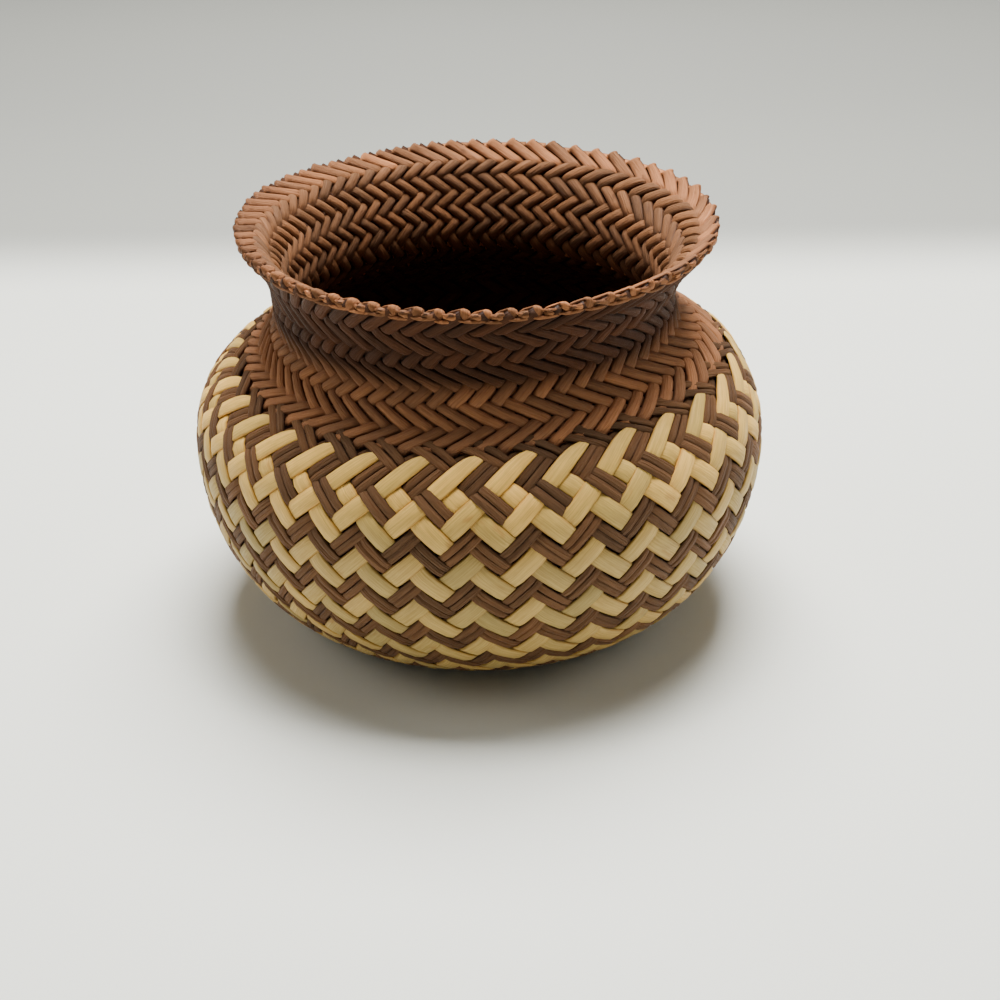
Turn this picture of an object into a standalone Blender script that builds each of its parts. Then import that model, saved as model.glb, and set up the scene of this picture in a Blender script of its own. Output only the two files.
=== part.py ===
"""Double weave basket: a round-bellied jar form with a drawn-in neck and a flared, folded rim.

Two baskets in one. The inner one is a shell of base, body and neck, with the ridges of its rods
zigzagging up the inside of the body and the neck. The outer one is laid up in woven courses that
ring it: flat cream splints and paired brown rods take turns down the body as zigzag bands,
scalloped cream floats close the shoulder, brown courses climb the neck, and at the rim the rods
fold over outward as a ring of knuckles, one for each rod.

Metres, +Z up, origin at the middle of the flat base.
"""

import math

import bmesh
import bpy
import numpy as np

# The turned form, as the outer face of the weave. Each rise is from the station below.
BASE_RADIUS = 0.0362
BELLY_RADIUS = 0.0725
BELLY_HEIGHT = 0.0478
SHOULDER_RADIUS = 0.0606
SHOULDER_RISE = 0.0230
NECK_RADIUS = 0.0519
NECK_RISE = 0.0102
RIM_RADIUS = 0.0598
RIM_RISE = 0.0229

# How far the profile's heading at the shoulder and at the rim bends away from a straight line
SHOULDER_SWEEP = math.radians(14.0)
RIM_SWEEP = math.radians(5.0)

# The two walls and the clearances between woven pieces
OUTER_WALL = 0.0016
INNER_WALL = 0.0018
WALL_CLEARANCE = 0.0007
SEAM_CLEARANCE = 0.0004

# The weave
STRANDS_EACH_WAY = 66
BODY_LAY = 0.94
ROD_PITCH = 0.0029
LAY_CHANGE_LOW = 0.0063
LAY_CHANGE_HIGH = 0.0014
CREAM_SHARE = 0.58
CREAM_COURSES = 6

# Places up the wall, counted in crossings above the first whole cream zigzag
SHOULDER_LEVEL = 7.0
FLOAT_TOP_LEVEL = 5.4
SCALLOP_DEPTH = 0.9
NECK_COURSE_TOPS = (7.0, 9.5, 12.5, 14.5, 17.5, 19.5, 22.5, 24.7)

# The outer base mat and the folded rim
BASE_MAT_REACH = 0.0092
FOLD_HEIGHT = 0.0056
FOLD_PROUD = 0.0009
FOLD_INWARD = 0.0005
KNUCKLE_RISE = 0.0008
KNUCKLE_LEAN = 0.9
STATIONS_PER_KNUCKLE = 3

# The inner basket, and the ridges that its rods raise on the inside, one for each pair of rods
INNER_BASE_REACH = 0.0100
INNER_SEAM_ABOVE_BELLY = 0.0100
RIDGES = 33
RIDGE_HEIGHT = 0.0008
RIDGE_LEAN = 0.5
BODY_RIDGE_ROWS = 5
NECK_RIDGE_ROWS = 6

# Flat sides of a plain turned ring
TURNED_SEGMENTS = 33

# Looks
CREAM = (0.56, 0.40, 0.19)
SHOULDER_CREAM = (0.60, 0.44, 0.22)
BROWN = (0.125, 0.062, 0.034)
NECK_BROWN = (0.150, 0.080, 0.045)
RIM_TAN = (0.33, 0.17, 0.08)
INNER_BROWN = (0.110, 0.060, 0.034)
SPLINT_ROUGHNESS = 0.55
ROD_ROUGHNESS = 0.60

# How finely the curves are worked out
PROFILE_STEPS = 60
LEVEL_STEPS = 2400


class Meridian:
    """The outer profile from the base's edge to the rim's crest, read by the distance along it."""

    def __init__(self):
        base = (BASE_RADIUS, 0.0)
        belly = (BELLY_RADIUS, BELLY_HEIGHT)
        shoulder = (SHOULDER_RADIUS, BELLY_HEIGHT + SHOULDER_RISE)
        neck = (NECK_RADIUS, shoulder[1] + NECK_RISE)
        rim = (RIM_RADIUS, neck[1] + RIM_RISE)
        upright = math.pi / 2
        shoulder_heading = SHOULDER_SWEEP + max(heading(belly, shoulder), heading(shoulder, neck))
        rim_heading = heading(neck, rim) - RIM_SWEEP
        stations = (
            (*base, 0.0),
            (*belly, upright),
            (*shoulder, shoulder_heading),
            (*neck, upright),
            (*rim, rim_heading),
        )
        points = [base]
        for start, end in zip(stations, stations[1:]):
            points.extend(arc_between(start, end)[1:])
        points = np.array(points)
        self.radius = points[:, 0]
        self.height = points[:, 1]
        steps = np.hypot(np.diff(self.radius), np.diff(self.height))
        self.distance = np.concatenate([[0.0], np.cumsum(steps)])
        self.length = self.distance[-1]
        self.belly = self.distance[PROFILE_STEPS]
        self.shoulder = self.distance[2 * PROFILE_STEPS]
        self.fold = self.length - FOLD_HEIGHT

    def at(self, distance, depth=0.0):
        """The point that far along, sunk by depth square to the surface, as (radius, height)."""
        small = self.length * 1e-4
        low = max(distance - small, 0.0)
        high = min(distance + small, self.length)
        radii = np.interp((low, distance, high), self.distance, self.radius)
        heights = np.interp((low, distance, high), self.distance, self.height)
        along = np.array((radii[2] - radii[0], heights[2] - heights[0]))
        along /= np.hypot(*along)
        return radii[1] - along[1] * depth, heights[1] + along[0] * depth


def heading(start, end):
    """Direction from one (radius, height) to the next, turned up from straight outward."""
    return math.atan2(end[1] - start[1], end[0] - start[0])


def arc_between(start, end):
    """A smooth arc that leaves one station and reaches the next on their headings."""
    (start_r, start_z, start_heading), (end_r, end_z, end_heading) = start, end
    turn = end_heading - start_heading
    leave = np.array((math.cos(start_heading), math.sin(start_heading)))
    reach = np.array((math.cos(end_heading), math.sin(end_heading)))
    span = np.array((end_r - start_r, end_z - start_z))
    cross = leave[0] * reach[1] - leave[1] * reach[0]
    leave_length = (span[0] * reach[1] - span[1] * reach[0]) / cross
    reach_length = (leave[0] * span[1] - leave[1] * span[0]) / cross
    share = 4.0 / 3.0 * math.tan(turn / 4.0) / math.tan(turn / 2.0)
    handle_a = np.array((start_r, start_z)) + leave * leave_length * share
    handle_b = np.array((end_r, end_z)) - reach * reach_length * share
    t = np.linspace(0.0, 1.0, PROFILE_STEPS + 1)[:, None]
    return (
        (1 - t) ** 3 * np.array((start_r, start_z))
        + 3 * (1 - t) ** 2 * t * handle_a
        + 3 * (1 - t) * t**2 * handle_b
        + t**3 * np.array((end_r, end_z))
    )


class WeaveLevels:
    """Turns a level of the weave, counted in crossings up the wall, into a distance up the meridian.

    Below the shoulder a crossing is as tall as the lay of the splints makes it, and above it as the
    thinner rods do. The courses fill the wall from the base mat to the shoulder and from there to
    the rim's fold.
    """

    def __init__(self, meridian):
        self.distance = np.linspace(0.0, meridian.length, LEVEL_STEPS + 1)
        radius = np.interp(self.distance, meridian.distance, meridian.radius)
        half_pitch = math.pi * radius / STRANDS_EACH_WAY
        body_rise = half_pitch * BODY_LAY
        sine = np.minimum(ROD_PITCH / (2.0 * half_pitch), 0.95)
        neck_rise = half_pitch * sine / np.sqrt(1.0 - sine * sine)
        below_shoulder = meridian.shoulder - self.distance
        share = (LAY_CHANGE_LOW - below_shoulder) / (LAY_CHANGE_LOW - LAY_CHANGE_HIGH)
        share = np.clip(share, 0.0, 1.0)
        rise = body_rise * (1.0 - share) + neck_rise * share
        step = meridian.length / LEVEL_STEPS
        count = np.concatenate([[0.0], np.cumsum(step / rise[1:])])
        foot, shoulder, fold = np.interp(
            (BASE_MAT_REACH, meridian.shoulder, meridian.fold), self.distance, count
        )
        body_stretch = (SHOULDER_LEVEL - lowest_level()) / (shoulder - foot)
        neck_stretch = (NECK_COURSE_TOPS[-1] - SHOULDER_LEVEL) / (fold - shoulder)
        above = count - shoulder
        stretch = np.where(above < 0.0, body_stretch, neck_stretch)
        self.level = SHOULDER_LEVEL + above * stretch

    def distance_at(self, level):
        return float(np.interp(level, self.level, self.distance))


def zigzag(turn_share):
    """Height of the zigzag in levels, +1 at a peak and -1 at a valley, for a share of one period."""
    return 4.0 * abs(turn_share % 1.0 - 0.5) - 1.0


def scallop(turn_share):
    """Rounded tops of the shoulder floats, 0 at a crown and -1 in the notch between two floats."""
    return -abs(math.sin(math.pi * turn_share)) ** 1.5


def ring_points(meridian, count, depth, distance_of):
    """One closed loop of points round the basket, at a depth under its outer face."""
    points = []
    for index in range(count):
        angle = 2.0 * math.pi * index / count
        radius, height = meridian.at(distance_of(angle), depth)
        points.append((radius * math.sin(angle), -radius * math.cos(angle), height))
    return points


def skin_between(bm, lower, upper):
    """Quads between two loops that run round together, each split on its shorter diagonal."""
    for index in range(len(lower)):
        quad = [lower[index - 1], lower[index], upper[index], upper[index - 1]]
        if (quad[0].co - quad[2].co).length > (quad[1].co - quad[3].co).length:
            quad = quad[1:] + quad[:1]
        bm.faces.new(quad)


def skin_to_ridges(bm, plain, ridged):
    """Triangles between a plain loop and one with two points for each of its own."""
    for index in range(len(plain)):
        valley = ridged[2 * index - 1]
        bm.faces.new((plain[index - 1], plain[index], valley))
        bm.faces.new((plain[index - 1], valley, ridged[2 * index - 2]))
        bm.faces.new((plain[index], ridged[2 * index], valley))


def ring_mesh(name, loops):
    """A closed ring whose skin runs from each loop to the next and back to the first."""
    bm = bmesh.new()
    loops = [[bm.verts.new(point) for point in points] for points in loops]
    for lower, upper in zip(loops, loops[1:] + loops[:1]):
        if len(lower) == len(upper):
            skin_between(bm, lower, upper)
        elif len(lower) < len(upper):
            skin_to_ridges(bm, lower, upper)
        else:
            skin_to_ridges(bm, upper, lower)
    return finished_mesh(name, bm)


def disc_mesh(name, loops):
    """A closed dish whose skin runs from the middle of one face round to that of the other."""
    bm = bmesh.new()
    loops = [[bm.verts.new(point) for point in points] for points in loops]
    for lower, upper in zip(loops, loops[1:]):
        skin_between(bm, lower, upper)
    for end in (loops[0], loops[-1]):
        bm.faces.new(end)
    return finished_mesh(name, bm)


def finished_mesh(name, bm):
    bmesh.ops.recalc_face_normals(bm, faces=bm.faces)
    mesh = bpy.data.meshes.new(name)
    bm.to_mesh(mesh)
    bm.free()
    return mesh


def strand_material(name, colour, roughness):
    material = bpy.data.materials.new(name)
    material.use_nodes = True
    shader = material.node_tree.nodes["Principled BSDF"]
    shader.inputs["Base Color"].default_value = (*colour, 1.0)
    shader.inputs["Roughness"].default_value = roughness
    shader.inputs["Metallic"].default_value = 0.0
    return material


def add_piece(mesh, basket, colour, roughness, crease=math.radians(38.0)):
    piece = bpy.data.objects.new(mesh.name, mesh)
    bpy.context.scene.collection.objects.link(piece)
    piece.parent = basket
    mesh.materials.append(strand_material(mesh.name, colour, roughness))
    mesh.shade_smooth()
    mesh.set_sharp_from_angle(angle=crease)
    return piece


def course_mesh(name, meridian, levels, count, low_level, high_level):
    """A woven course as a ring of the outer wall, between two levels given as functions of angle."""

    def low(angle):
        return levels.distance_at(low_level(angle)) + SEAM_CLEARANCE / 2.0

    def high(angle):
        return levels.distance_at(high_level(angle)) - SEAM_CLEARANCE / 2.0

    loops = (
        ring_points(meridian, count, 0.0, low),
        ring_points(meridian, count, 0.0, high),
        ring_points(meridian, count, OUTER_WALL, high),
        ring_points(meridian, count, OUTER_WALL, low),
    )
    return ring_mesh(name, loops)


def level_line(level):
    return lambda angle: level


def zigzag_line(level):
    periods = STRANDS_EACH_WAY // 2
    return lambda angle: level + zigzag(periods * angle / (2.0 * math.pi))


def scallop_line(level):
    periods = STRANDS_EACH_WAY // 2
    return lambda angle: level + SCALLOP_DEPTH * scallop(periods * angle / (2.0 * math.pi))


def add_body_courses(basket, meridian, levels):
    """Cream and brown zigzag courses, from the shoulder down to the edge of the base mat."""
    cream_top = 2.0 * CREAM_SHARE
    bottom = lowest_level()
    for number in range(1, CREAM_COURSES + 1):
        middle = -4.0 * (number - 1)
        top = zigzag_line(middle + cream_top)
        last = number == CREAM_COURSES
        foot = level_line(bottom) if last else zigzag_line(middle - cream_top)
        name = f"cream_course_{number}"
        mesh = course_mesh(name, meridian, levels, STRANDS_EACH_WAY, foot, top)
        add_piece(mesh, basket, CREAM, SPLINT_ROUGHNESS)
        if last:
            break
        name = f"brown_course_{number}"
        top = zigzag_line(middle - cream_top)
        foot = zigzag_line(middle - 4.0 + cream_top)
        mesh = course_mesh(name, meridian, levels, STRANDS_EACH_WAY, foot, top)
        add_piece(mesh, basket, BROWN, ROD_ROUGHNESS)


def lowest_level():
    """The level at which the base mat ends and the last cream course starts."""
    return -4.0 * (CREAM_COURSES - 1) - 2.0 * CREAM_SHARE - 1.0


def add_shoulder_course(basket, meridian, levels):
    """The ring of cream floats that closes the shoulder, with one rounded top to each float."""
    count = 2 * STRANDS_EACH_WAY
    foot = zigzag_line(2.0 * CREAM_SHARE)
    mesh = course_mesh("shoulder_floats", meridian, levels, count, foot, scallop_line(FLOAT_TOP_LEVEL))
    add_piece(mesh, basket, SHOULDER_CREAM, SPLINT_ROUGHNESS)


def add_neck_courses(basket, meridian, levels):
    """Brown courses up the neck. The lowest one fits down between the rounded tops of the floats."""
    foot = scallop_line(FLOAT_TOP_LEVEL)
    count = 2 * STRANDS_EACH_WAY
    for number, top in enumerate(NECK_COURSE_TOPS, start=1):
        mesh = course_mesh(f"neck_course_{number}", meridian, levels, count, foot, level_line(top))
        add_piece(mesh, basket, NECK_BROWN, ROD_ROUGHNESS)
        foot = level_line(top)
        count = TURNED_SEGMENTS


def add_rim_fold(basket, meridian):
    """The folded rim: one knuckle for each rod, leaning over the edges of both walls."""
    start = meridian.fold + SEAM_CLEARANCE / 2.0
    height = meridian.length - start
    depth = OUTER_WALL + WALL_CLEARANCE + INNER_WALL + FOLD_INWARD
    # Corners of the fold's section as (share of its height, depth under the outer face, swell)
    section = (
        (0.00, -0.50 * FOLD_PROUD, 0.3),
        (0.55, -FOLD_PROUD, 1.0),
        (0.97, 0.25 * depth, 1.0),
        (0.90, 0.85 * depth, 0.4),
        (0.00, depth, 0.0),
    )
    count = STRANDS_EACH_WAY * STATIONS_PER_KNUCKLE
    loops = []
    for place, (rise, sink, swell) in enumerate(section):
        lean = KNUCKLE_LEAN * place / len(section)
        points = []
        for index in range(count):
            angle = 2.0 * math.pi * index / count
            wave = 0.5 + 0.5 * math.cos(STRANDS_EACH_WAY * angle + 2.0 * math.pi * lean)
            bulge = KNUCKLE_RISE * swell * wave
            radius, level = meridian.at(start + height * rise, sink - bulge)
            points.append((radius * math.sin(angle), -radius * math.cos(angle), level))
        loops.append(points)
    add_piece(ring_mesh("rim_fold", loops), basket, RIM_TAN, ROD_ROUGHNESS, math.radians(60.0))


def plain_loops(meridian, low, high, rows, depth):
    """Plain loops at one depth, from one distance along the meridian to another."""
    loops = []
    for row in range(rows + 1):
        distance = low + (high - low) * row / rows
        loops.append(ring_points(meridian, TURNED_SEGMENTS, depth, lambda angle: distance))
    return loops


def shell_loops(meridian, low, high, rows, outer_depth, inner_depth):
    """Loops up one face of a shell and down the other, between two distances along the meridian."""
    outer = plain_loops(meridian, low, high, rows, outer_depth)
    inner = plain_loops(meridian, high, low, rows, inner_depth)
    return outer + inner


def ridged_loops(meridian, low, high, rows, depth):
    """Loops whose ridges lean one way in one row and the other way in the next."""
    loops = []
    for row in range(rows + 1):
        distance = low + (high - low) * row / rows
        lean = RIDGE_LEAN if row % 2 else -RIDGE_LEAN
        points = []
        for index in range(2 * RIDGES):
            angle = math.pi * (index + lean) / RIDGES
            valley = RIDGE_HEIGHT * (index % 2)
            radius, height = meridian.at(distance, depth - valley)
            points.append((radius * math.sin(angle), -radius * math.cos(angle), height))
        loops.append(points)
    return loops


def add_bases(basket, meridian):
    """The two base mats, the outer one lying flat on the ground and the inner one on top of it."""
    top = BASE_MAT_REACH - SEAM_CLEARANCE / 2.0
    outer = disc_mesh("outer_base", shell_loops(meridian, 0.0, top, 2, 0.0, OUTER_WALL))
    add_piece(outer, basket, BROWN, ROD_ROUGHNESS)
    near = OUTER_WALL + WALL_CLEARANCE
    far = near + INNER_WALL
    top = INNER_BASE_REACH - SEAM_CLEARANCE / 2.0
    inner = disc_mesh("inner_base", shell_loops(meridian, 0.0, top, 2, near, far))
    add_piece(inner, basket, INNER_BROWN, ROD_ROUGHNESS)


def add_inner_walls(basket, meridian):
    """The inner basket's wall, which the outer courses lie against, in three bands."""
    near = OUTER_WALL + WALL_CLEARANCE
    far = near + INNER_WALL
    seam = meridian.belly + INNER_SEAM_ABOVE_BELLY
    bands = (
        ("inner_lower_body", INNER_BASE_REACH, seam, 5, BODY_RIDGE_ROWS),
        ("inner_upper_body", seam, meridian.shoulder, 3, 0),
        ("inner_neck", meridian.shoulder, meridian.fold, 8, NECK_RIDGE_ROWS),
    )
    for name, foot, top, rows, ridge_rows in bands:
        foot += SEAM_CLEARANCE / 2.0
        top -= SEAM_CLEARANCE / 2.0
        if ridge_rows:
            outer = plain_loops(meridian, foot, top, rows, near)
            inner = ridged_loops(meridian, foot, top, ridge_rows, far)
            loops = outer + inner[::-1]
        else:
            loops = shell_loops(meridian, foot, top, rows, near, far)
        add_piece(ring_mesh(name, loops), basket, INNER_BROWN, ROD_ROUGHNESS)


def clear_scene():
    for item in list(bpy.data.objects):
        bpy.data.objects.remove(item, do_unlink=True)


def main():
    clear_scene()
    basket = bpy.data.objects.new("double_weave_basket", None)
    bpy.context.scene.collection.objects.link(basket)
    meridian = Meridian()
    levels = WeaveLevels(meridian)
    add_bases(basket, meridian)
    add_inner_walls(basket, meridian)
    add_body_courses(basket, meridian, levels)
    add_shoulder_course(basket, meridian, levels)
    add_neck_courses(basket, meridian, levels)
    add_rim_fold(basket, meridian)


main()
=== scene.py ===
"""Looks of a double weave basket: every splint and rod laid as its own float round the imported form."""

import math

import bpy
import numpy as np
from bpy.props import FloatProperty, FloatVectorProperty, IntProperty, PointerProperty
from mathutils import Matrix, Vector


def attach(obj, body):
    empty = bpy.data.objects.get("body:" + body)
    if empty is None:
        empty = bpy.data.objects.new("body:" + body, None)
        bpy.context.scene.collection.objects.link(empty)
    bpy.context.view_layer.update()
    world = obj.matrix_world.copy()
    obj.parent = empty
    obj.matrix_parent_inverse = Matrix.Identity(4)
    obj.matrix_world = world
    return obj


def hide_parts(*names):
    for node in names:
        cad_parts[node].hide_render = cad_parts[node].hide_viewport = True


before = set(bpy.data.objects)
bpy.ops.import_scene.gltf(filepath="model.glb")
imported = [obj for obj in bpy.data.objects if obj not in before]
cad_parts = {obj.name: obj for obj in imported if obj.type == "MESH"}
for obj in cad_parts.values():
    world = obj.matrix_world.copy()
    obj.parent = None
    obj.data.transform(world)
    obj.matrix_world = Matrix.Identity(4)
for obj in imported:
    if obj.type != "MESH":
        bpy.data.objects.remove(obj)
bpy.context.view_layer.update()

bl_info = {
    "name": "Double weave basket",
    "version": (1, 0, 0),
    "blender": (4, 5, 0),
    "location": "3D View > Sidebar > Basket",
    "description": "Lays the strands of a double weave basket round its packed form",
    "category": "Object",
}

# What the operators share: the guide walls, the float shapes, the node trees and the finishes
BUILT = {}

# The turned form, as the outer face of the weave. Each rise is from the station below.
BASE_RADIUS = 0.0362
BELLY_RADIUS = 0.0725
BELLY_HEIGHT = 0.0478
SHOULDER_RADIUS = 0.0606
SHOULDER_RISE = 0.0230
NECK_RADIUS = 0.0519
NECK_RISE = 0.0102
RIM_RADIUS = 0.0598
RIM_RISE = 0.0229
SHOULDER_SWEEP = math.radians(14.0)
RIM_SWEEP = math.radians(5.0)
FOLD_HEIGHT = 0.0056
BASE_MAT_REACH = 0.0092

# The weave. Levels are counted in crossings up the wall.
STRANDS_EACH_WAY = 66
BODY_LAY = 0.94
ROD_PITCH = 0.0029
STEEPEST_SINE = 0.95
LAY_CHANGE_LOW = 0.0063
LAY_CHANGE_HIGH = 0.0014
LOWEST_LEVEL = -22.16
SHOULDER_LEVEL = 7.0
NECK_TOP_LEVEL = 24.7
CREST_LEVEL = 28.0
PROFILE_STEPS = 60
LEVEL_STEPS = 2400

# How the weaver's hand strays from an even lay, in levels and in radians round the wall.
# Front is the cosine of the angle from the front, side its sine, and height counts from the first zigzag.
LAY_TURN = 0.063
HEIGHT_UNIT = 15.0
HEIGHT_LIMITS = (-1.2, 1.25)
LEVEL_BY_SIDE = -0.45
LEVEL_BY_FRONT = -0.54
LEVEL_FRONT_ZERO = 0.7
LEVEL_BY_SIDE_TWICE = 0.86
LEVEL_BY_HEIGHT_AT_SIDE = 0.88
ANGLE_BY_FRONT = -0.131
ANGLE_FRONT_ZERO = 0.9
ANGLE_BY_HEIGHT_AT_SIDE = -0.016
ANGLE_BY_HEIGHT = (0.027, 0.032, -0.094)
ANGLE_BY_SIDE = (0.033, -0.016, 0.007)
STRAY_FADES_IN = 6.0
STRAY_FADES_OUT = 4.0

# How far the hand-made neck and lip stray from the turned form at the two sides, by distance up the wall
FORM_DISTANCES = (0.0790, 0.0933, 0.1012, 0.1070, 0.1111, 0.1153, 0.1195, 0.1238, 0.1276, 0.1313)
FORM_RIGHT = (0.0, 0.0014, -0.0004, -0.0020, -0.0032, -0.0038, -0.0034, -0.0018, 0.0006, 0.0015)
FORM_LEFT = (0.0, -0.0018, -0.0012, -0.0009, -0.0012, -0.0022, -0.0025, -0.0015, 0.0004, 0.0013)
FORM_TABLE_STEP = 0.0004
FORM_ROUNDING_STEPS = 7

# Range of the guide walls in the weave's own coordinates
GUIDE_LEFT = -10.0
GUIDE_WIDTH = 152.0
GUIDE_FOOT = -26.0
GUIDE_TALL = 62.0
GUIDE_STEP = 0.5

# Depths under the outer face, the rings of the layer between, and the wall's thinning at the rim
OUTER_UNDER = 0.0017
INNER_UNDER = 0.0027
INNER_FACE = 0.0041
UNDER_THINNEST = 0.00015
UNDER_FIRST_SHARE = 0.03
UNDER_RINGS = 42
EDGE_THINS_FROM = 23.5
EDGE_THIN_AT = 27.5
EDGE_DEPTH = 0.0019

# The crest: its level, how much lower it is in front, and the low spot at the back's left
CREST_MIDDLE = 26.75
CREST_RISE = 0.9
CREST_LOW_AT = 2.53
CREST_LOW_BY = 0.5
CREST_LOW_SHARPNESS = 8
UNDER_BELOW_CREST = 0.8
ROD_BELOW_CREST = 0.2

# The stretch at the back's left where the folded rods lie flatter and start lower
LEAN_AT = 2.1
LEAN_MORE = 0.55
LEAN_AT_FOLD = 0.72
TOP_COURSE_LOWER = 0.5

# Half widths, places and reaches of the strands in crossings, and the lift of those under in metres
TUCK = 0.5
CREAM_HALF = 0.58
BROWN_HALF = 0.42
SPLINT_SLACK = 0.03
PAIR_ROD_HALF = 0.228
ROD_OFFSET = 0.205
ROD_HALF = 0.495
ROD_SKEW = 0.38
DIP_REACH = 0.85
ROD_DIP_REACH = 0.78
UNDER_LIFT = -0.0012

# How much a strand strays by itself: sideways in crossings, its width as a factor, its lift in metres
SWAY = 0.035
WAVER = (0.91, 1.01)
LIFT_STRAY = 0.00006

# How much of a rod's tone its pair shares, and how much is its own
PAIR_TONE_SHARED, PAIR_TONE_OWN = 0.7, 0.3

# The body's zigzags: the level of the uppermost of each colour, and the step down to the next
CREAM_LEVEL = 0.0
BROWN_LEVEL = -2.0
ZIGZAG_STEP = 4.0
BODY_REACH = 60
FIRST_FLOAT_ABOVE = 0.6

# Starts of the random draws, one for each piece
CREAM_SEED = 100
BROWN_SEED = 200
SHOULDER_SEEDS = (301, 302, 303)
NECK_SEED = 400
MAT_SEED = 609
RIM_SEEDS = (701, 702, 703)

# The shoulder: levels of its floats' feet and tops, and the leaf's lean, half width and lift
SPLINT_LEVELS = (1.58, 2.42)
LOW_PAIR_LEVELS = (0.42, 2.58)
HIGH_PAIR_LEVELS = (2.58, 4.58)
LOW_PAIR_LIFT = 0.00015
LOW_PAIR_FULLER = 0.04
HIGH_PAIR_FULLER = 0.03
LEAF_FOOT = 2.42
LEAF_TOP = 5.85
LEAF_TOP_STRAY = (-0.15, 0.25)
LEAF_LEAN = (-0.02, 0.04)
LEAF_HALF = CREAM_HALF - 0.05
LEAF_LIFT = 0.00025
LEAF_DIPS = (1.0, 0.55)

# Tops of the courses up the neck, and of the inner basket's courses from the rim down
NECK_FOOT = 4.58
FIRST_COURSE_TOP = 6.5
FIRST_COURSE_OVER = 1.1
FIRST_UNDER_OVER = 1.0
FIRST_SPREAD = 0.5
FIRST_HALVES = (0.47, 0.24)
FIRST_THICKER = 1.15
FIRST_DIPS = (0.75, 1.0)
LAST_DIPS = (0.3, 0.0)
NECK_TOPS = (7.0, 9.5, 12.5, 14.5, 17.5, 19.5, 22.5, 24.7)
INNER_TOPS = (25.15, 22.75, 20.4, 18.35, 16.4, 14.5, 12.9, 10.9, 8.9)
INNER_STEP = 2.0
INNER_FLOOR_GAP = 3.0
INNER_BANDS = (
    ("inner_neck", 510, 7.0, 40.0),
    ("inner_upper_body", 516, -6.0, 7.0),
    ("inner_lower_body", 516, -40.0, -6.0),
)

# The flat mats of the base
MAT_STRANDS = 16
MAT_REACH = 0.0452
INNER_MAT_REACH = 0.0440
MAT_PITCH = MAT_REACH / (MAT_STRANDS + 0.5)
MAT_MIDDLE = 20
MAT_HALF = 0.44
OUTER_MAT_LIFT = -0.00034
FOOT_REACH = 0.02

# The rim's folds and what stands between them
FOLD_RUN = 1.0
FOLD_CROWN = 0.0008
FOLD_TURN_DOWN = 0.55
NO_FOLD = 1000.0
FOLD_STARTS_BELOW = 0.35
FOLD_OVER = 1.1
FOLD_HALVES = (0.52, 0.46)
FOLD_THICKNESS = 0.0011
FOLD_DRIFT = -0.35
FOLD_SKEW = 0.28
FOLD_SKEW_LESS_IN_FRONT = 0.16
FOLD_DIPS = (1.0, 0.3)

# How much the folds vary in their crest's level, length, half width, drift and skew
FOLD_VARIES = (0.16, 0.22, 0.09, 0.45, 0.1)

# The trimmed ends between the folds. The first four pairs are a middle value and how much it varies.
END_ASIDE = (0.42, 0.1)
END_LENGTH = (0.5, 0.12)
END_ABOVE_CREST = (-0.45, 0.12)
END_HALF = (0.26, 0.04)
END_FROM_ANGLE = -0.2
END_THICKNESS = 0.001
END_LIFT = -0.0002
END_DIPS = (0.5, 0.0)
END_DIP_REACH = 0.4

# The strip under the folds, and the finer one that lies at the crest in front
STRIP_LEAST = (1.1, -0.1)
STRIP_MOST = (1.6, 0.25)
STRIP_BELOW_CREST = 0.8
STRIP_ASIDE = -0.1
STRIP_HALF = 0.13
STRIP_THICKNESS = 0.0008
STRIP_LIFT = 0.0001
STRIP_DIPS = (0.5, 0.5)
STRIP_DIP_REACH = 0.5
FINE_STRIP_FROM_COSINE = 0.1
FINE_STRIP_BELOW_CREST = 0.12
FINE_STRIP_ASIDE = (-1.0, -0.05)
FINE_STRIP_CLIMB = 0.1
FINE_STRIP_HALF = 0.075
FINE_STRIP_THICKNESS = 0.0006
FINE_STRIP_LIFT = -0.0007
FINE_STRIP_DIPS = (0.3, 0.3)

# Scale of the strand's own coordinates in metres, and of the noise that wanders over it
STRAND_LENGTH_SCALE = 0.0047
WANDER_ALONG = 0.55
WANDER_ACROSS = 0.7

# Stations along a float, and sections across it as (side, up)
STATIONS = (0.0, 0.09, 0.18, 0.29, 0.5, 0.71, 0.82, 0.91, 1.0)
FOLD_STATIONS = tuple(step / 22.0 for step in range(23))
SPLINT_SECTION = ((-1.0, 0.30), (-0.87, 0.93), (0.0, 1.08), (0.87, 0.93), (1.0, 0.30), (0.0, 0.0))
FLAT_ROD_SECTION = ((-1.0, 0.25), (-0.82, 0.86), (-0.1, 1.0), (0.8, 0.88), (1.0, 0.25), (0.0, 0.0))
ROD_SECTION = (
    (-1.0, 0.22), (-0.84, 0.68), (-0.38, 0.98), (0.3, 1.0), (0.8, 0.72), (1.0, 0.22), (0.0, -0.1),
)

# A leaf's stations, each with its low and high side
LEAF_SPREAD = (
    (0.0, -1.0, 1.0), (0.15, -1.0, 1.0), (0.35, -1.0, 1.0), (0.52, -1.0, 1.0), (0.66, -0.96, 1.0),
    (0.77, -0.86, 1.0), (0.86, -0.68, 0.97), (0.92, -0.46, 0.9), (0.965, -0.2, 0.8), (1.0, 0.1, 0.62),
)

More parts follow.
